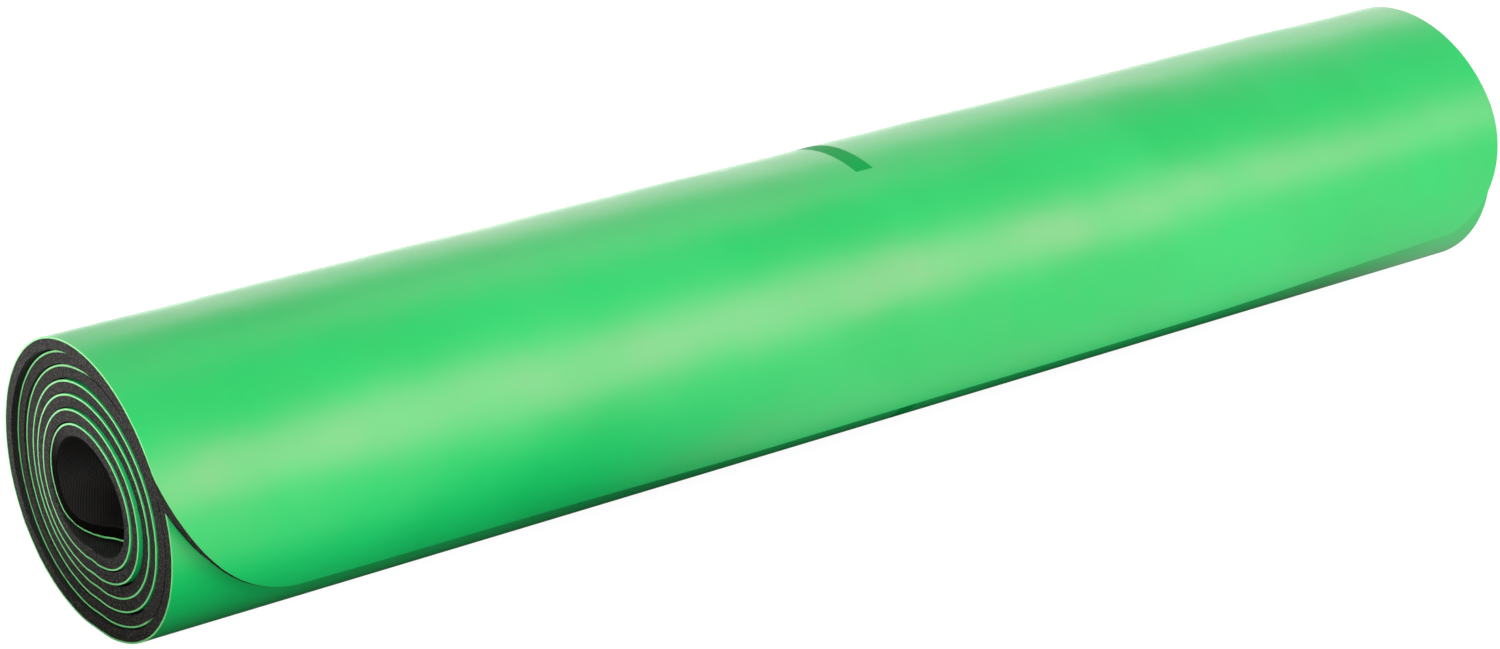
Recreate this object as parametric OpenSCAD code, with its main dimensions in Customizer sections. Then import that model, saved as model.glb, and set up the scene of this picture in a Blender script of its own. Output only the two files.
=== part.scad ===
// Exercise or camping mat: a bonded two-layer sheet rolled into a log, lying on its side.
// +X runs along the roll, +Z is up, -Y is the front, the side the free edge closes on.
// The origin is the bottom centre of the rolled mat's box.

/* [Sheet] */
// Width of the mat, which is the length of the roll
mat_w = 680; // [560:5:720]
// Thickness of the green polyurethane skin
skin_t = 0.5; // [0.3:0.1:1]
// Thickness of the black foamed rubber base
base_t = 4.5; // [3:0.1:5]
// Radius of the four rounded corners of the mat
corner_r = 62; // [20:1:80]

/* [Roll] */
// Radius of the roll to the outside of the skin at the free edge, before the oval is added
roll_r = 62.5; // [61:0.1:68]
// Number of turns from the free edge to the inner edge
turns = 7.1; // [6:0.05:7.3]
// Slack between one turn and the next
slack = 0.47; // [0.4:0.01:0.6]
// Place of the free edge round the roll, 0 is straight in front and 90 is on top
free_edge_angle = -23; // [-35:1:-15]
// How far the section is from round, added to the radius along its long direction
oval = 2.9; // [0:0.1:4]
// Direction of the long axis of the section
oval_angle = -9; // [-90:1:90]
// How far the middle turns stand back from the outer turn at the -X end
telescope = 4.7; // [0:0.1:8]
// How much of that the innermost turns come forward again
telescope_back = 1.8; // [0:0.1:3]

/* [Free end] */
// Place round the roll where the free end meets the bend
lift_start_angle = 120; // [118:1:124]
// Angle of roll taken by each strip of the bend
strip_angle = 8; // [6:0.5:8]
// Number of strips in the bend
strips = 6; // [6:1:6]

/* [Detail] */
// Angle between the facets of the spiral
step = 7.5; // [7.5:1.5:9]
// Facets in a quarter of a corner
corner_steps = 9; // [6:1:14]

/* [Hidden] */

skin_green = [0.16, 0.76, 0.39];
base_black = [0.16, 0.15, 0.14];

// Outer and inner depth of each layer below the outer face of the skin
skin_depths = [0, skin_t];
base_depths = [skin_t, skin_t + base_t];

// "wind" is the angle wound inward from the free edge, where it is 0.
// "place" is the angle round the roll, from the front over the top.
inner_edge = 360 * turns;
bend_outer = lift_start_angle - free_edge_angle;
bend_inner = bend_outer + strips * strip_angle;
underside = 270 - free_edge_angle;    // straight down, in the outer turn

// --- Section of the roll ---
pitch = skin_t + base_t + slack;      // radius lost in each turn
flat_half_angle = 1.5 * step;         // half the patch that gravity flattens under the roll
give_reach = 60;                      // no flattening further than this from straight down

// Radius of the outer face of the skin before gravity flattens it
function unflattened_r(wind) = roll_r - pitch * wind / 360
    + oval * cos(2 * (free_edge_angle + wind - oval_angle));

// The flat patch is cut at the height where its two edges stand on the unflattened section
axis_z = unflattened_r(underside) * cos(flat_half_angle);

// Brings an angle within half a turn of 0
function wrap(angle) = angle - 360 * floor((angle + 180) / 360);

// Every turn gives way by as much as the outer turn does at that place
function give(place) =
    let (from_down = wrap(place - 270))
    abs(from_down) < give_reach
        ? min(0, axis_z / cos(from_down) - unflattened_r(underside + from_down))
        : 0;

function outer_r(wind) = unflattened_r(wind) + give(free_edge_angle + wind);

// The section is a spiral of straight facets. Their ends fall at the same places in every turn,
// so that the turns nest, and two of them fall on the edges of the patch, so that it is truly flat
first_station = underside + step / 2;

// Radius of the face at this depth, on the facet that passes this angle
function facet_r(wind, depth) =
    let (start = first_station + step * floor((wind - first_station) / step),
         end = start + step,
         start_r = outer_r(start) - depth,
         end_r = outer_r(end) - depth)
    start_r * end_r * sin(step) / (start_r * sin(wind - start) + end_r * sin(end - wind));

// Y and Z from the roll's axis
function section_point(wind, depth) =
    let (r = facet_r(wind, depth), place = free_edge_angle + wind)
    [-r * cos(place), r * sin(place)];

// --- Telescoping: inner turns stand back at the -X end and out at the +X end ---
spread_wind = 300;      // how slowly the shift builds up from the free edge
spread_power = 1.5;
return_start = 850;     // wind where the turns begin to come forward again
return_span = 1000;     // wind taken by the whole return

function ease(u) = u < 0 ? 0 : u > 1 ? 1 : u * u * (3 - 2 * u);
function shift_x(wind) =
    telescope * (1 - exp(-pow(max(wind, 0) / spread_wind, spread_power)))
    - telescope_back * ease((wind - return_start) / return_span);

// --- Rounded corners, from distances along the sheet ---
inner_edge_r = outer_r(inner_edge);

function from_free_edge(wind) = wind * PI / 180 * (roll_r - pitch * wind / 720);
function from_inner_edge(wind) =
    let (back = inner_edge - wind)
    back * PI / 180 * (inner_edge_r + pitch * back / 720);

// How far a corner cuts into the sheet's side, at a distance from the edge
function corner_cut(distance) = distance >= corner_r
    ? 0
    : corner_r - sqrt(max(0, corner_r * corner_r - pow(corner_r - distance, 2)));
function inset(wind) =
    max(corner_cut(from_free_edge(wind)), corner_cut(from_inner_edge(wind)));

// --- Stations: winding angles, even along the turns and set by the arc at the corners ---
inner_corner_steps = 3;  // corner facets cut at the inner edge
end_gap = 0.2;           // least gap between an even station and the ends, in steps

// Angle from an edge to a corner station, on a roll of radius r
function corner_angle(i, r) = corner_r * (1 - cos(90 * i / corner_steps)) / r * 180 / PI;

// Even stations between two angles, leaving out both ends
function between(from, to) =
    let (first = ceil((from - first_station) / step + end_gap),
         last = floor((to - first_station) / step - end_gap))
    [for (i = [first:last]) first_station + step * i];

free_corner = [for (i = [0:corner_steps]) corner_angle(i, roll_r)];
inner_corner = [for (i = [inner_corner_steps:-1:0]) inner_edge - corner_angle(i, inner_edge_r)];

free_end_stations =
    concat(free_corner, between(free_corner[corner_steps], bend_outer), [bend_outer]);
roll_stations = concat([bend_inner], between(bend_inner, inner_corner[0]), inner_corner);

// Strip 1 is the innermost of the bend
function strip_stations(i) = [for (back = [i, i - 0.5, i - 1]) bend_inner - back * strip_angle];

// --- Centring on the finished box ---
function middle(values) = (max(values) + min(values)) / 2;

outline_stations = concat(free_end_stations, between(bend_outer, bend_outer + 360));
axis_y = -middle([for (wind = outline_stations) section_point(wind, 0)[0]]);

// The inner roll reaches furthest to +X and the free end furthest to -X
x_mid = (max([for (wind = roll_stations) shift_x(wind) - inset(wind)])
    + min([for (wind = free_end_stations) shift_x(wind) + inset(wind)])) / 2;

// --- Pieces ---
// Four corners of the layer's cut at one station
function cut_points(wind, depths) =
    let (left = -mat_w / 2 + shift_x(wind) + inset(wind) - x_mid,
         right = mat_w / 2 + shift_x(wind) - inset(wind) - x_mid,
         outer = section_point(wind, depths[0]) + [axis_y, axis_z],
         inner = section_point(wind, depths[1]) + [axis_y, axis_z])
    [concat(left, outer), concat(right, outer), concat(right, inner), concat(left, inner)];

// A piece of one layer, lofted through its stations
module sheet(stations, depths) {
    last = 4 * (len(stations) - 1);
    points = [for (wind = stations) each cut_points(wind, depths)];
    sides = [for (i = [0:4:last - 4]) for (k = [0:3])
        let (p = i + k, q = i + (k + 1) % 4)
        each [[p, p + 4, q + 4], [p, q + 4, q]]];
    ends = [[0, 1, 2], [0, 2, 3],
            [last, last + 2, last + 1], [last, last + 3, last + 2]];
    polyhedron(points = points, faces = concat(sides, ends), convexity = 10);
}

module inner_roll_base() { color(base_black) sheet(roll_stations, base_depths); }
module inner_roll_skin() { color(skin_green) sheet(roll_stations, skin_depths); }
module bend_strip_base(i) { color(base_black) sheet(strip_stations(i), base_depths); }
module bend_strip_skin(i) { color(skin_green) sheet(strip_stations(i), skin_depths); }
module free_end_base() { color(base_black) sheet(free_end_stations, base_depths); }
module free_end_skin() { color(skin_green) sheet(free_end_stations, skin_depths); }

inner_roll_base();
inner_roll_skin();
bend_strip_base(1);  // bend_strip_1_base
bend_strip_skin(1);  // bend_strip_1_skin
bend_strip_base(2);  // bend_strip_2_base
bend_strip_skin(2);  // bend_strip_2_skin
bend_strip_base(3);  // bend_strip_3_base
bend_strip_skin(3);  // bend_strip_3_skin
bend_strip_base(4);  // bend_strip_4_base
bend_strip_skin(4);  // bend_strip_4_skin
bend_strip_base(5);  // bend_strip_5_base
bend_strip_skin(5);  // bend_strip_5_skin
bend_strip_base(6);  // bend_strip_6_base
bend_strip_skin(6);  // bend_strip_6_skin
free_end_base();
free_end_skin();
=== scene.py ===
"""A rolled mat: a satin green skin bonded to a black foamed rubber base, lying on its side.

The roll's axis runs along x: its near end is at -x, its front faces -y, and it rests on z = 0.
Every piece of the sheet is lofted along one spiral, so the pieces meet edge to edge. Lengths in
the geometry code are millimetres, and angles are degrees. "wind" is the winding angle, from 0 at
the free edge to WIND_END at the inner edge. "run" is the distance along the sheet.
"""
import math
from collections import namedtuple

import bpy
import numpy as np
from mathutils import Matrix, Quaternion, Vector


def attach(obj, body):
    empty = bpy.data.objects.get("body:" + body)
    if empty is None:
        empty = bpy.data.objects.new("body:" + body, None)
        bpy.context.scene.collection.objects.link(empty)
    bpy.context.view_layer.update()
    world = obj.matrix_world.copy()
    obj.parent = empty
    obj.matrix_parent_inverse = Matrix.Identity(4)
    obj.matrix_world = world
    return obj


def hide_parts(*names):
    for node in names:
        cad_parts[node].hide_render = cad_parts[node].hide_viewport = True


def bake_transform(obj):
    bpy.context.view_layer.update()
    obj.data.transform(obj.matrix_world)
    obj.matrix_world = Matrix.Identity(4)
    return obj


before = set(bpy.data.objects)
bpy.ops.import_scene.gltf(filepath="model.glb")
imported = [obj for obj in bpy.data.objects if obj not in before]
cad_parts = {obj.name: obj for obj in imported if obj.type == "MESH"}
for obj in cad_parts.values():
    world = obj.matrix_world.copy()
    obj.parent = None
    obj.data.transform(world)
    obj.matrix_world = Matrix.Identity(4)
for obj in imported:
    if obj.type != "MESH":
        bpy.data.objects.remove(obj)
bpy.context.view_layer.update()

# ---------------------------------------------------------------- the sheet and its spiral

ROLL_RADIUS = 63.955     # at the free edge, before the shape terms
SKIN, THICK = 0.5, 5.0   # thickness of the skin, and of the whole sheet
WIDTH = 680.0
X_NEAR = -342.3          # near end of the outermost turn
FREE = -23.0             # place of the free edge round the roll: 0 in front, 90 on top
WIND_END = 2544.0
AXIS_Y, AXIS_Z = 1.565, 52.9

# The roll's outline: radius lost per turn, counted from a place, then (cosine, sine) harmonics
TURN_LOSS, LOSS_FROM = .08976, -22.8875
HARMONICS = [(.00314, .03398), (.04371, -.01381), (.00348, -.00649)]

# Where the turns rest on the ground: sine of the place below which they can, softness in mm
REST_SINE, REST_SOFT = -.7, .12

HINGES = [191 - 8 * i for i in range(7)]
HALF = 4.0               # each bending piece reaches this far on both sides of its hinge
BLEND_HALF = 3.7         # and its blend this far


def spline(first, gap, values):
    """Cubic spline through evenly spaced knots, not-a-knot at both ends."""
    knots = np.array(values, float)
    count = len(knots)
    system = np.zeros((count, count))
    target = np.zeros(count)
    for i in range(1, count - 1):
        system[i, i - 1:i + 2] = 1, 4, 1
        target[i] = 6 * (knots[i - 1] - 2 * knots[i] + knots[i + 1]) / gap ** 2
    system[0, :3] = 1, -2, 1
    system[-1, -3:] = 1, -2, 1
    bends = np.linalg.solve(system, target)

    def curve(place):
        t = (np.asarray(place, float) - first) / gap
        i = np.clip(np.floor(t).astype(int), 0, count - 2)
        u = t - i
        v = 1 - u
        cubic = (v ** 3 - v) * bends[i] + (u ** 3 - u) * bends[i + 1]
        return v * knots[i] + u * knots[i + 1] + gap ** 2 / 6 * cubic
    return curve


# Both tables are read at wind + FREE, and TABLE_SCALE turns their values into millimetres.
TABLE_SCALE = 1.00636
# how far each stretch of the winding is from an even spiral
RADIAL = spline(-20, 70, [
    -1.083, -1.111, -1.078, -.87, -.598, -.491, -.715, -.917, -.758, -.577, -.467, -.536, -.686,
    -.646, -.628, -.58, -.545, -.54, -.485, -.235, -.048, -.011, .074, .053, -.172, -.23, -.096,
    .235, .358, .054, -.097, -.11, .34, .564, .619, .577, .498, .411])
# how far its near edge stands back
SETBACK = spline(-20, 110, [
    0, 1.01, 1.93, 3.59, 4.06, 3.79, 4.49, 5.09, 4.6, 4.54, 3.86, 4.06, 4.38, 4.01, 3.33, 3.42,
    2.83, 2.78, 2.82, 2.7, 2.58, 2.99, 3.19, 3.42])


def ease(t):
    t = np.clip(t, 0, 1)
    return t * t * (3 - 2 * t)


def free_radius(wind):
    """Radius of the skin's outer face before it rests on the ground."""
    place = np.asarray(wind, float) + FREE
    t = np.radians(place)
    form = 1 - TURN_LOSS * (place - LOSS_FROM) / 360
    for k, (cosine, sine) in enumerate(HARMONICS, 1):
        form = form + cosine * np.cos(k * t) + sine * np.sin(k * t)
    return ROLL_RADIUS * form + TABLE_SCALE * RADIAL(place)


def rest_give(wind):
    """The turns give way alike where the roll's weight flattens it on the ground."""
    place = (np.asarray(wind, float) + FREE) % 360
    outermost = free_radius(place - FREE)
    sine = np.sin(np.radians(place))
    limit = AXIS_Z / np.maximum(-sine, -REST_SINE)
    give = -REST_SOFT * np.logaddexp(0, (outermost - limit) / REST_SOFT)
    return np.where(sine < REST_SINE, give, 0.0)


def radius(wind):
    return free_radius(wind) + rest_give(wind)


def roll_yz(distance, wind):
    """y and z of a point at this distance from the roll's axis."""
    t = np.radians(wind + FREE)
    return AXIS_Y - distance * np.cos(t), AXIS_Z + distance * np.sin(t)


def measure_run():
    """Winding angles, and the distance along the middle of the sheet's thickness at each."""
    winds = np.arange(-12, WIND_END + 12.01, .25)
    middle, t = radius(winds) - THICK / 2, np.radians(winds + FREE)
    y, z = -middle * np.cos(t), middle * np.sin(t)
    runs = np.concatenate([[0], np.cumsum(np.hypot(np.diff(y), np.diff(z)))])
    return winds, runs - np.interp(0, winds, runs)


WINDS, RUNS = measure_run()


def run_at(wind):
    return np.interp(wind, WINDS, RUNS)


def wind_at(run):
    return np.interp(run, RUNS, WINDS)


RUN_END = float(run_at(WIND_END))

# Rounded corners: size across and along the sheet
CORNER_X, CORNER_RUN, CORNER_POWER = 56.4, 58.4, 1.65
FAR_CORNER_X, FAR_CORNER_RUN = 30.0, 60.0


def corner(run):
    """How far a rounded corner cuts into the sheet's side, by distance from its end edge."""
    q = np.clip(1 - np.asarray(run, float) / CORNER_RUN, 0, 1)
    return CORNER_X * (1 - np.maximum(1 - q ** CORNER_POWER, 0) ** (1 / CORNER_POWER))


def cut_in(wind):
    run = run_at(wind)
    return np.maximum(corner(run), corner(RUN_END - run))


def far_cut_in(wind):
    """The far corner at the free edge is rounded less across the sheet than the near one."""
    run = run_at(wind)
    q = np.clip(1 - run / FAR_CORNER_RUN, 0, 1)
    return np.maximum(FAR_CORNER_X * (1 - np.sqrt(1 - q * q)), corner(RUN_END - run))


def near_edge(wind):
    return X_NEAR + TABLE_SCALE * SETBACK(wind + FREE) + cut_in(wind)


def far_edge(wind):
    # one stretch of the second turn stands back, and the turns inside it stand out a little
    out = TABLE_SCALE * SETBACK(wind + FREE) * (1 - ease((wind - 120) / 120))
    out = out - 2.1 * ease((wind - 260) / 60) * (1 - ease((wind - 380) / 45))
    out = out + 1.6 * ease((wind - 520) / 200)
    return X_NEAR + WIDTH + out - far_cut_in(wind)


# The free edge isn't quite parallel to the roll: x, and degrees added to the winding angle
BOW_X = np.array([-345, -300, -250, -185, -135, -85, -35, 15,
                  65, 115, 165, 200, 240, 265, 290, 345.])
BOW_WIND = np.array([-1.0, -1.4, -2.1, -2.5, -3.4, -4.3, -4.1, -3.7,
                     -3.8, -3.5, -3.0, -1.9, -.1, .9, 1.9, 3.2])
BOW_BLUR = 24            # reach of the blur along x
BOW_FADE = 105           # the bow is gone at this winding angle


def bow(wind, x):
    weights = np.exp(-np.linspace(-2.2, 2.2, 9) ** 2)
    shifts = np.linspace(-BOW_BLUR, BOW_BLUR, 9)
    total = sum(w * np.interp(x + shift, BOW_X, BOW_WIND)
                for w, shift in zip(weights / weights.sum(), shifts))
    return total * (1 - ease(wind / BOW_FADE))


# Swells of the outer turn: radians per mm across and along the sheet, and a phase for each
random = np.random.RandomState(11)
SWELLS = [(random.uniform(.010, .045), random.uniform(.010, .055),
           random.uniform(0, 6.283), random.uniform(0, 6.283)) for _ in range(9)]
BROAD_SWELL, FINE_SWELL = .17, .09


def swell(wind, x):
    """Soft unevenness of the outer turn: it only ever stands off the turn below."""
    run = run_at(wind)
    broad = sum(np.sin(across * x + p) * np.cos(along * run + q)
                for across, along, p, q in SWELLS) / 3.0
    fine = sum(np.sin(2.3 * across * x + q) * np.cos(2.1 * along * run + p)
               for across, along, p, q in SWELLS) / 3.0
    fade = ease((wind + 5) / 30) * (1 - ease((wind - 250) / 80))
    return (BROAD_SWELL * (1 + np.clip(broad, -1, 1)) + FINE_SWELL * (1 + np.clip(fine, -1, 1))) * fade


def ripple(run, seed, amount, size):
    """Fine unevenness of a cut edge along the sheet."""
    grid = np.random.RandomState(seed).normal(0, 1, int(RUN_END / size) + 40)
    return amount * np.interp((run + 20) / size, np.arange(len(grid)), grid)


def near_lip(wind):
    """1 where the rubber's near edge bulges out over its skin, about the start of the third turn."""
    return ease((wind - 694) / 24) * (1 - ease((wind - 812) / 30))


def skin_forward(wind):
    return .1


def base_forward(wind):
    """How far the rubber's cut edge stands out: to the next turn out at the lip, and at the free end."""
    flush = near_edge(wind) - near_edge(wind - 360) + .1
    return flush * near_lip(wind) + 1.3 * (1 - ease((wind - 38) / 20))


# top and bottom are depths below the skin's face, rim_width the reach of the "rim" attribute,
# wave the seed, amount and size of the ripple
Layer = namedtuple("Layer", "name top bottom round_top round_bottom rim_width wave forward")
LAYERS = [Layer("skin", 0, SKIN, .13, 0, .2, (3, .03, 1.1), skin_forward),
          Layer("base", SKIN, THICK, 0, .4, .4, (5, .045, .9), base_forward)]

# ---------------------------------------------------------------- lofting

# distances of the outer columns from the sheet's sides
RIMS = np.array([0, .015, .05, .1, .16, .3, .45, .8, 1.2, 1.55, 1.85])
CUT_SPREAD = .20         # the skin is drawn this much thicker where the sheet was cut
INNER_DROP = 1.5         # the innermost stretch springs inward, off the turn before it


def rim_grid(wind, side_wave, n_mid):
    """x of each station's columns, which follow the corners, and their distance from the edges."""
    run = run_at(wind)
    x0 = near_edge(wind) + side_wave
    x1 = far_edge(wind) - np.maximum(side_wave, -.3) * .7
    step = .02
    rise = cut_in(wind + step) - cut_in(wind - step)
    slope = np.abs(rise / np.maximum(run_at(wind + step) - run_at(wind - step), 1e-6))
    slant = np.minimum(np.sqrt(1 + slope ** 2), 14)[:, None]
    left = x0[:, None] + slant * RIMS[None, :]
    right = x1[:, None] - slant * RIMS[None, ::-1]
    u = np.linspace(0, 1, n_mid + 2)[1:-1]
    low, high = left[:, -1], right[:, 0]
    middle = low[:, None] + (high - low)[:, None] * u[None, :]
    x = np.concatenate([left, middle, right], 1)
    away = np.minimum(np.minimum(x - x0[:, None], x1[:, None] - x) / slant,
                      np.minimum(run, RUN_END - run)[:, None])
    return x, np.maximum(away, 0)


def sink(away, size):
    """Depth of a rounded edge of this radius."""
    if size <= 0:
        return np.zeros_like(away)
    q = np.clip(1 - away / size, 0, 1)
    return size * (1 - np.sqrt(1 - q ** 2))


def add_object(name, data):
    ob = bpy.data.objects.new(name, data)
    bpy.context.scene.collection.objects.link(ob)
    return ob


def add_mesh(name, points, faces):
    mesh = bpy.data.meshes.new(name)
    mesh.from_pydata(points, [], faces)
    return add_object(name, mesh)


def quads(*corners):
    return np.stack(corners, -1).reshape(-1, 4)


def loft(name, layer, wind, n_mid):
    """One layer of the sheet through the stations wind, as a closed mesh."""
    run = run_at(wind)
    x, away = rim_grid(wind, ripple(run, *layer.wave) - layer.forward(wind), n_mid)
    n, m = x.shape
    winds = np.repeat(wind[:, None], m, 1)
    winds = winds + bow(winds, x)
    lift = swell(winds, x)
    drop = INNER_DROP * ease((winds - 2345) / 60)

    def face(depth):
        y, z = roll_yz(radius(winds) + lift - drop - depth, winds)
        return np.stack([x, y, z], -1).reshape(-1, 3)

    top = layer.top + sink(away, layer.round_top)
    bottom = layer.bottom - sink(away, layer.round_bottom)
    spread = CUT_SPREAD * (1 - ease(away / 1.1))
    if layer.name == "skin":
        bottom = bottom + spread
    else:
        # the lip covers the skin and reaches into the gap below the next turn out
        lip = near_lip(winds) * (x < 0) * (1 - ease((away - 1.5) / .3))
        room = np.clip(radius(winds - 360) - THICK - radius(winds) - .05, 0, 1.2)
        top = top + (spread * (1 - lip) - (SKIN + room) * lip)

    points = np.concatenate([face(top), face(bottom)]) / 1000.0
    points[:, 2] = np.maximum(points[:, 2], 0.0)
    o = np.arange(n * m).reshape(n, m)
    b = o + n * m
    faces = np.concatenate([
        quads(o[:-1, :-1], o[:-1, 1:], o[1:, 1:], o[1:, :-1]),
        quads(b[:-1, :-1], b[1:, :-1], b[1:, 1:], b[:-1, 1:]),
        quads(o[:-1, 0], o[1:, 0], b[1:, 0], b[:-1, 0]),
        quads(o[1:, -1], o[:-1, -1], b[:-1, -1], b[1:, -1]),
        quads(o[0, 1:], o[0, :-1], b[0, :-1], b[0, 1:]),
        quads(o[-1, :-1], o[-1, 1:], b[-1, 1:], b[-1, :-1])])
    ob = add_mesh(name, points.tolist(), faces.tolist())
    mesh = ob.data
    mesh.validate()
    mesh.polygons.foreach_set("use_smooth", np.ones(len(mesh.polygons), bool))
    for key, value in (("sheet_s", np.tile(run.repeat(m), 2) / 1000.0),
                       ("sheet_x", np.tile(x.ravel(), 2) / 1000.0),
                       ("rim", 1 - ease(np.tile(away.ravel(), 2) / layer.rim_width)),
                       ("under", np.repeat([0.0, 1.0], n * m))):
        attribute = mesh.attributes.new(key, "FLOAT", "POINT")
        attribute.data.foreach_set("value", value.astype(np.float32))
    mesh.update()
    # crisp where the cut sides meet the faces
    mesh.set_sharp_from_angle(angle=math.radians(38))
    return ob


# distances of the stations near an end edge from it
EDGE_RUN = np.array([
    0, .04, .1, .2, .34, .55, .85, 1.25, 1.8, 2.5, 3.4, 4.5, 5.8, 7.3, 9, 11, 13.2, 15.6, 18.2,
    21, 24, 27.2, 30.6, 34.2, 38, 42, 46, 50, 54, 57, 60])
INWARD = 62              # the even stations start here
FINE_MID, COARSE_MID = 96, 16


def free_end_stations():
    last = HINGES[-1] - HALF
    end = float(run_at(last))
    even = np.linspace(INWARD, end, int(round((end - INWARD) / 1.6)) + 1)
    winds = np.concatenate([wind_at(EDGE_RUN), wind_at(even)])
    winds[-1] = last
    return winds


def roll_stations():
    winds = np.concatenate([np.arange(HINGES[0] + HALF, 470, 1.5),
                            np.arange(470, wind_at(RUN_END - INWARD), 2.5),
                            wind_at((RUN_END - EDGE_RUN)[::-1])])
    winds[-1] = WIND_END
    return winds


def hinge_point(wind):
    """Point on the sheet's inner face, in metres."""
    y, z = roll_yz(float(radius(wind)) - THICK, wind)
    return (0, float(y) / 1000, float(z) / 1000)


pieces = []
for layer in LAYERS:
    for body, winds, n_mid, short in (("free_end", free_end_stations(), FINE_MID, "free_end"),
                                      ("inner_roll", roll_stations(), COARSE_MID, "roll")):
        ob = loft("%s_%s_sheet" % (short, layer.name), layer, winds, n_mid)
        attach(ob, body)
        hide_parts(body + "_" + layer.name)
        pieces.append((layer.name, ob))
    for j, hinge in enumerate(HINGES):
        winds = hinge + np.linspace(HALF, -HALF, 17)[::-1]
        ob = loft("bend_%d_%s_sheet" % (j + 1, layer.name), layer, winds, FINE_MID)
        if j < 6:
            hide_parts("bend_strip_%d_%s" % (j + 1, layer.name))
        hinge_point(hinge + BLEND_HALF)
        hinge_point(hinge - BLEND_HALF)
        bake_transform(ob)
        pieces.append((layer.name, ob))

# ---------------------------------------------------------------- materials


class Nodes:
    """Builds the node tree of a material or world. Inputs take values or sockets."""

    def __init__(self, owner):
        owner.use_nodes = True
        self.owner = owner
        self.tree = owner.node_tree
        self.tree.nodes.clear()

    def add(self, kind, inputs={}, **props):
        node = self.tree.nodes.new(kind)
        for key, value in props.items():
            setattr(node, key, value)
        for key, value in inputs.items():
            if isinstance(value, bpy.types.NodeSocket):
                self.tree.links.new(value, node.inputs[key])
            else:
                node.inputs[key].default_value = value
        return node

    def math(self, operation, *args):
        return self.add("ShaderNodeMath", dict(enumerate(args)), operation=operation).outputs[0]

    def plus(self, a, b):
        return self.math("ADD", a, b)

    def minus(self, a, b):
        return self.math("SUBTRACT", a, b)

    def times(self, a, b):
        return self.math("MULTIPLY", a, b)

    def smooth(self, x, lo, hi, start=0.0, end=1.0):
        """Smooth step from start to end as x goes from lo to hi."""
        return self.add("ShaderNodeMapRange", {0: x, 1: lo, 2: hi, 3: start, 4: end},
                        interpolation_type="SMOOTHSTEP").outputs[0]

    def fall(self, x, lo, hi):
        return self.minus(1.0, self.smooth(x, lo, hi))

    def mix(self, fac, a, b):
        return self.add("ShaderNodeMix", {0: fac, 6: a, 7: b}, data_type="RGBA").outputs[2]

    def noise(self, place, scale, detail, rough):
        return self.add("ShaderNodeTexNoise", {"Vector": place, "Scale": scale, "Detail": detail,
                                               "Roughness": rough}).outputs["Fac"]

    def bump(self, height, strength, distance, **more):
        return self.add("ShaderNodeBump", {"Strength": strength, "Distance": distance,
                                           "Height": height, **more}).outputs["Normal"]

    def axes(self, space):
        place = self.add("ShaderNodeTexCoord").outputs[space]
        return self.add("ShaderNodeSeparateXYZ", {0: place}).outputs

    def sheet(self):
        """Place on the sheet, its run in metres, run and x in millimetres, and the rim."""
        run, x, rim, under = (self.add("ShaderNodeAttribute", attribute_name=key).outputs["Fac"]
                              for key in ("sheet_s", "sheet_x", "rim", "under"))
        place = self.add("ShaderNodeCombineXYZ", {0: x, 1: run, 2: under}).outputs[0]
        return place, run, self.times(run, 1000.0), self.times(x, 1000.0), rim

    def diffuse(self, color):
        return self.add("ShaderNodeBsdfDiffuse", {"Color": color}).outputs[0]

    def glow(self, strength):
        return self.add("ShaderNodeEmission",
                        {"Color": (1, 1, 1, 1), "Strength": strength}).outputs[0]

    def mix_shader(self, fac, a, b):
        return self.add("ShaderNodeMixShader", {0: fac, 1: a, 2: b}).outputs[0]

    def finish(self, shader, kind="ShaderNodeOutputMaterial"):
        self.add(kind, {0: shader})
        return self.owner

    def principled(self, **inputs):
        named = {key.replace("_", " "): value for key, value in inputs.items()}
        return self.finish(self.add("ShaderNodeBsdfPrincipled", named).outputs[0])


def srgb(*color):
    return tuple(((c / 255 + .055) / 1.055) ** 2.4 if c > 10 else c / 255 / 12.92
                 for c in color) + (1,)


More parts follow.
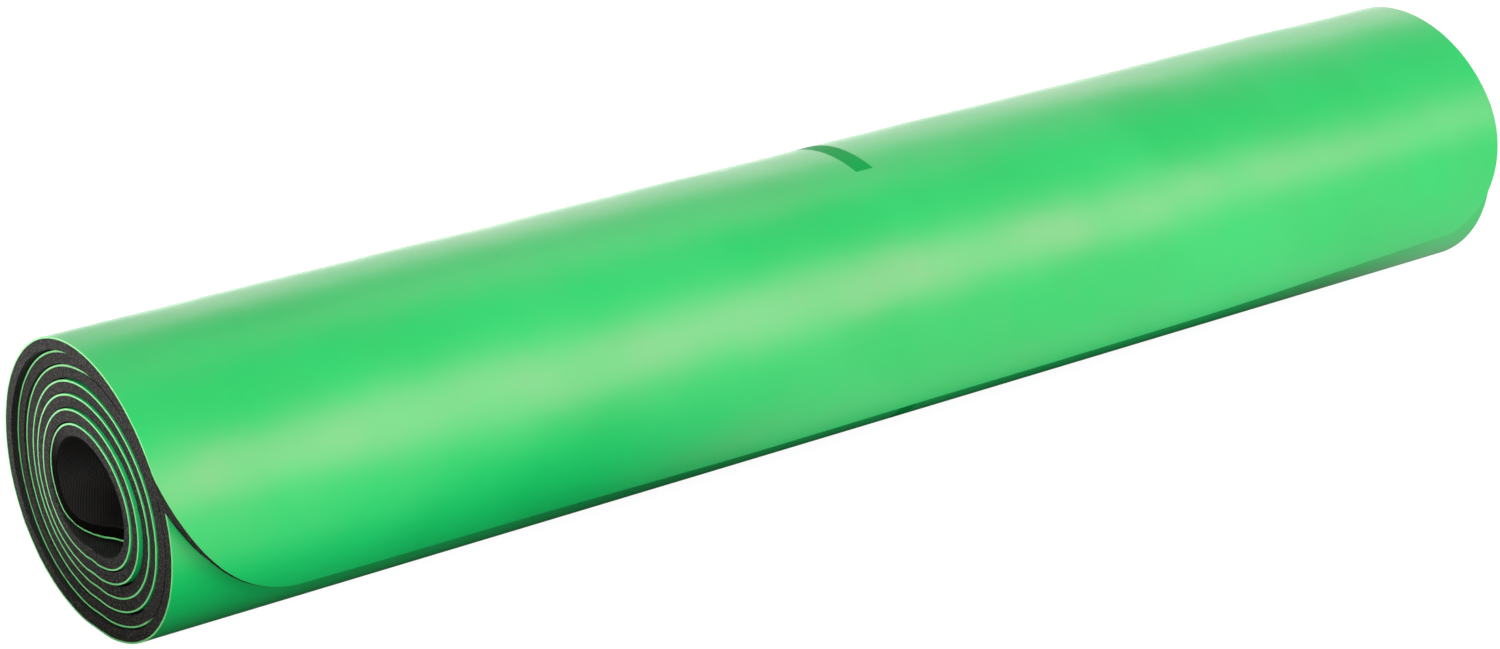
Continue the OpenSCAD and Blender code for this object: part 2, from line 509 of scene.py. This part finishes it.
def skin_material():
    n = Nodes(bpy.data.materials.new("satin_green_skin"))
    place, _, run, x, rim = n.sheet()

    # engraved line down the middle of the mat, hatched along the roll
    line_x, line_start, soft_edge, hatch_pitch = (6.3, 15.0), float(run_at(74.7 - FREE)), .12, 1.1
    band = n.times(n.smooth(x, line_x[0] - soft_edge, line_x[0] + soft_edge),
                   n.smooth(x, line_x[1] - soft_edge, line_x[1] + soft_edge, start=1.0, end=0.0))
    line = n.times(band, n.smooth(run, line_start - soft_edge, line_start + soft_edge))
    phase = n.math("FRACT", n.math("DIVIDE", run, hatch_pitch))
    hatch = n.smooth(n.math("ABSOLUTE", n.minus(phase, .5)), lo=.20, hi=.34, start=1.0, end=0.0)
    ink = n.times(line, hatch)

    cloud = n.noise(place, scale=9.0, detail=3.0, rough=.55)
    fine = n.noise(place, scale=2600.0, detail=2.0, rough=.6)
    green = n.mix(n.smooth(cloud, lo=.35, hi=.65), srgb(6, 186, 92), srgb(10, 192, 98))
    # darker greens of the line and its hatching
    color = n.mix(n.times(line, .9), green, srgb(0, 142, 50))
    color = n.mix(ink, color, srgb(0, 74, 10))
    groove = n.mix(n.times(hatch, .55), srgb(0, 168, 78), srgb(0, 112, 40))
    color = n.mix(line, color, groove)
    # pale cut edge of the skin: partly its own paler colour and partly a painted highlight, broken up
    # unevenly by noise
    highlight_breakup = n.smooth(n.noise(place, scale=900.0, detail=2.0, rough=.6),
                    lo=.25, hi=.75, start=.55, end=1.0)
    color = n.mix(n.times(n.smooth(rim, lo=.35, hi=.9), highlight_breakup), color, srgb(140, 255, 152))

    # the line is rougher and barely shines
    patch = n.noise(place, scale=26.0, detail=3.0, rough=.55)
    rough = n.plus(n.smooth(cloud, lo=.3, hi=.7, start=.36, end=.42), n.times(line, .2))
    shine = n.times(n.smooth(patch, lo=.3, hi=.7, start=.78, end=1.0),
                    n.minus(1.0, n.times(line, .93)))

    # two grains of equal weight, less the hatching's depth, over soft waves
    coarse = n.noise(place, scale=700.0, detail=2.0, rough=.5)
    height = n.minus(n.plus(n.times(fine, .5), n.times(coarse, .5)), n.times(ink, 2.2))
    waves = n.bump(n.noise(place, scale=13.0, detail=2.5, rough=.5), strength=.5, distance=.0022)
    normal = n.bump(height, strength=.10, distance=.00012, Normal=waves)
    return n.principled(Base_Color=color, Roughness=rough, IOR=1.5, Specular_IOR_Level=shine,
                        Specular_Tint=(1.0, .06, .5, 1), Normal=normal)


def base_material():
    n = Nodes(bpy.data.materials.new("black_foamed_rubber"))
    place, run_m, run, x, rim = n.sheet()
    solid = n.add("ShaderNodeTexCoord").outputs["Object"]

    # foam: fine open cells on the cut edge
    cells = n.add("ShaderNodeTexVoronoi", {"Vector": solid, "Scale": 2300.0}).outputs["Distance"]
    speck = n.noise(solid, scale=1300.0, detail=3.0, rough=.72)
    lump = n.noise(solid, scale=520.0, detail=3.0, rough=.6)
    edge = n.mix(n.smooth(speck, lo=.49, hi=.61), srgb(6, 6, 5), srgb(68, 63, 57))
    edge = n.mix(n.smooth(lump, lo=.45, hi=.75, end=.4), edge, srgb(16, 15, 14))
    edge = n.mix(n.smooth(cells, lo=.0, hi=.28, start=.75, end=0.0), edge, srgb(6, 6, 5))
    # painted shade: the innermost end's cut edge is darkened nearly black, because it sits deep in the
    # shade of the hole
    hole_shade = n.smooth(run_m, lo=RUN_END / 1000 - .105, hi=RUN_END / 1000 - .075, end=.95)
    edge = n.mix(hole_shade, edge, srgb(5, 5, 4))

    def ribs(operation, slant=.42, per_mm=5.4):
        return n.math("SINE", n.times(n.math(operation, x, n.times(run, slant)), per_mm))

    # underside: a fine raised weave of diagonal ribs, the second set weaker
    weave = n.times(n.plus(ribs("ADD"), n.times(ribs("SUBTRACT"), .75)), .5)
    low = n.noise(place, scale=60.0, detail=3.0, rough=.6)
    face = n.mix(n.smooth(weave, lo=-.7, hi=.8), srgb(7, 7, 6), srgb(43, 41, 39))
    face = n.mix(n.smooth(low, lo=.3, hi=.7, end=.35), face, srgb(14, 13, 13))

    on_edge = n.smooth(rim, lo=.25, hi=.8)
    color = n.mix(on_edge, face, edge)
    # relative heights of the weave, the specks and the cells
    face_height = n.times(weave, 1.0)
    edge_height = n.plus(n.times(speck, 1.6), n.times(n.smooth(cells, lo=0.0, hi=.3), 1.2))
    height = n.add("ShaderNodeMix", {0: on_edge, 2: face_height, 3: edge_height},
                   data_type="FLOAT").outputs[0]
    normal = n.bump(height, strength=.7, distance=.00022)
    rough = n.smooth(on_edge, lo=0, hi=1, start=.62, end=.85)
    # the painted shade at the innermost end also takes away the edge's shine
    shine = n.times(n.minus(1.0, n.times(hole_shade, on_edge)), .3)
    return n.principled(Base_Color=color, Roughness=rough, IOR=1.45, Specular_IOR_Level=shine,
                        Normal=normal)


def dress(ob, material):
    ob.data.materials.clear()
    ob.data.materials.append(material)


skin, base = skin_material(), base_material()
for kind, ob in pieces:
    dress(ob, skin if kind == "skin" else base)
for name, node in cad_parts.items():
    dress(node, skin if name.endswith("skin") else base)

# ---------------------------------------------------------------- floor, light and camera


def pale_floor():
    """Plain white paper, which the camera sees glowing evenly. Seen from the mat it is dark, except for
    glowing patches: painted bounce light that stands in for the light the paper throws back.
    """
    n = Nodes(bpy.data.materials.new("pale_floor"))
    x, y, _ = n.axes("Object")
    seen = n.add("ShaderNodeLightPath").outputs["Is Camera Ray"]
    shown = n.mix_shader(.80, n.diffuse((.9, .9, .9, 1)), n.glow(1.17))
    # patches that light the mat, in metres: behind it, and three in front
    behind = n.smooth(y, lo=.02, hi=.14)
    skew = n.plus(x, n.times(y, .5))
    right = n.times(n.smooth(skew, lo=-.18, hi=-.075), n.fall(y, lo=-.072, hi=-.050))
    left = n.times(n.fall(skew, lo=-.30, hi=-.25), n.fall(y, lo=-.17, hi=-.10))
    far_side = n.times(n.smooth(x, lo=.19, hi=.36), n.fall(y, lo=-.05, hi=.02))
    # strengths of the patches, and a faint light everywhere
    front = n.math("MAXIMUM", n.math("MAXIMUM", n.times(right, .82), n.times(left, .9)),
                   n.times(far_side, .62))
    level = n.plus(n.times(behind, 3.6), n.plus(front, .03))
    return n.finish(n.mix_shader(seen, n.glow(level), shown))


def gauze():
    """Dark net of a lighting flag. It thins out toward both ends."""
    n = Nodes(bpy.data.materials.new("flag_gauze"))
    x = n.axes("Object")[0]
    density = .26
    amount = n.times(n.times(n.smooth(x, lo=-.25, hi=-.10), n.fall(x, lo=.24, hi=.33)), density)
    clear = n.add("ShaderNodeBsdfTransparent").outputs[0]
    return n.finish(n.mix_shader(amount, clear, n.diffuse((.001, .012, .003, 1))))


floor = add_mesh("floor", [(x, y, -.0004) for x, y in ((-9, -9), (9, -9), (9, 9), (-9, 9))],
                 [(0, 1, 2, 3)])
floor.data.materials.append(pale_floor())

# a net close under the free edge, hidden from the camera, keeps the floor's light off the roll
NET_X, NET_GAP, NET_STATIONS = (-290, 330), 2.6, 15
net_winds = np.linspace(303, 352, NET_STATIONS)
net_y, net_z = roll_yz(radius(net_winds) + NET_GAP, net_winds)
flag = add_mesh("flag", [(x / 1000, y / 1000, z / 1000) for x in NET_X for y, z in zip(net_y, net_z)],
                [(i, i + 1, i + NET_STATIONS + 1, i + NET_STATIONS) for i in range(NET_STATIONS - 1)])
flag.data.materials.append(gauze())
flag.visible_camera = False

# name, place, point aimed at, size (metres), power (watts), roll about the beam
LIGHTS = [
    ("front_strip", (.76, -1.32, .88), (-.15, 0, .05), (1.35, .9), 20, 20),
    ("key", (-1.6, -1.4, 1.6), (0, 0, .05), (1.4, 1.4), 6, 0),
    ("low_front", (-1.3, -1.5, .52), (0, 0, .05), (1.5, .8), 21, 0),
    ("top_left", (-.9, .35, 1.6), (-.15, 0, .06), (.9, .9), 6.5, 0),
    ("top_strip", (.72, .58, 1.38), (-.2, 0, .1), (.6, .2), 1.4, 0),
    ("back", (2.0, 2.2, 1.0), (0, 0, .1), (2.6, 1.2), 20, 0),
]
for name, place, aim, size, power, roll in LIGHTS:
    light = bpy.data.lights.new(name, "AREA")
    light.shape = "RECTANGLE"
    light.size, light.size_y = size
    light.energy = power
    ob = add_object(name, light)
    ob.location = place
    turn = (Vector(aim) - Vector(place)).to_track_quat("-Z", "Y")
    ob.rotation_euler = (turn @ Quaternion((0, 0, 1), math.radians(roll))).to_euler()

# the world is white at the horizon and a little greyer overhead
world = bpy.data.worlds.new("studio")
bpy.context.scene.world = world
n = Nodes(world)
sky = n.add("ShaderNodeValToRGB", {0: n.axes("Generated")[2]})
for stop, grey in zip(sky.color_ramp.elements, (1, .72)):
    stop.color = (grey, grey, grey, 1)
backdrop = n.add("ShaderNodeBackground", {0: sky.outputs[0], "Strength": .46})
n.finish(backdrop.outputs[0], "ShaderNodeOutputWorld")

EYE = (-947.176047, -1213.122722, 651.885262)
AZIMUTH, ELEVATION = math.radians(-36.88497), math.radians(21.63137)
camera = bpy.data.cameras.new("camera")
camera.sensor_width = 36.0
camera.lens = 95.6413344
camera.clip_start, camera.clip_end = .05, 60
eye = add_object("camera", camera)
backward = Vector((math.sin(AZIMUTH) * math.cos(ELEVATION),
                   -math.cos(AZIMUTH) * math.cos(ELEVATION), math.sin(ELEVATION)))
eye.location = Vector(EYE) / 1000
eye.rotation_mode = "QUATERNION"
eye.rotation_quaternion = (-backward).to_track_quat("-Z", "Y")
bpy.context.scene.camera = eye

bpy.context.scene.view_settings.view_transform = "Standard"
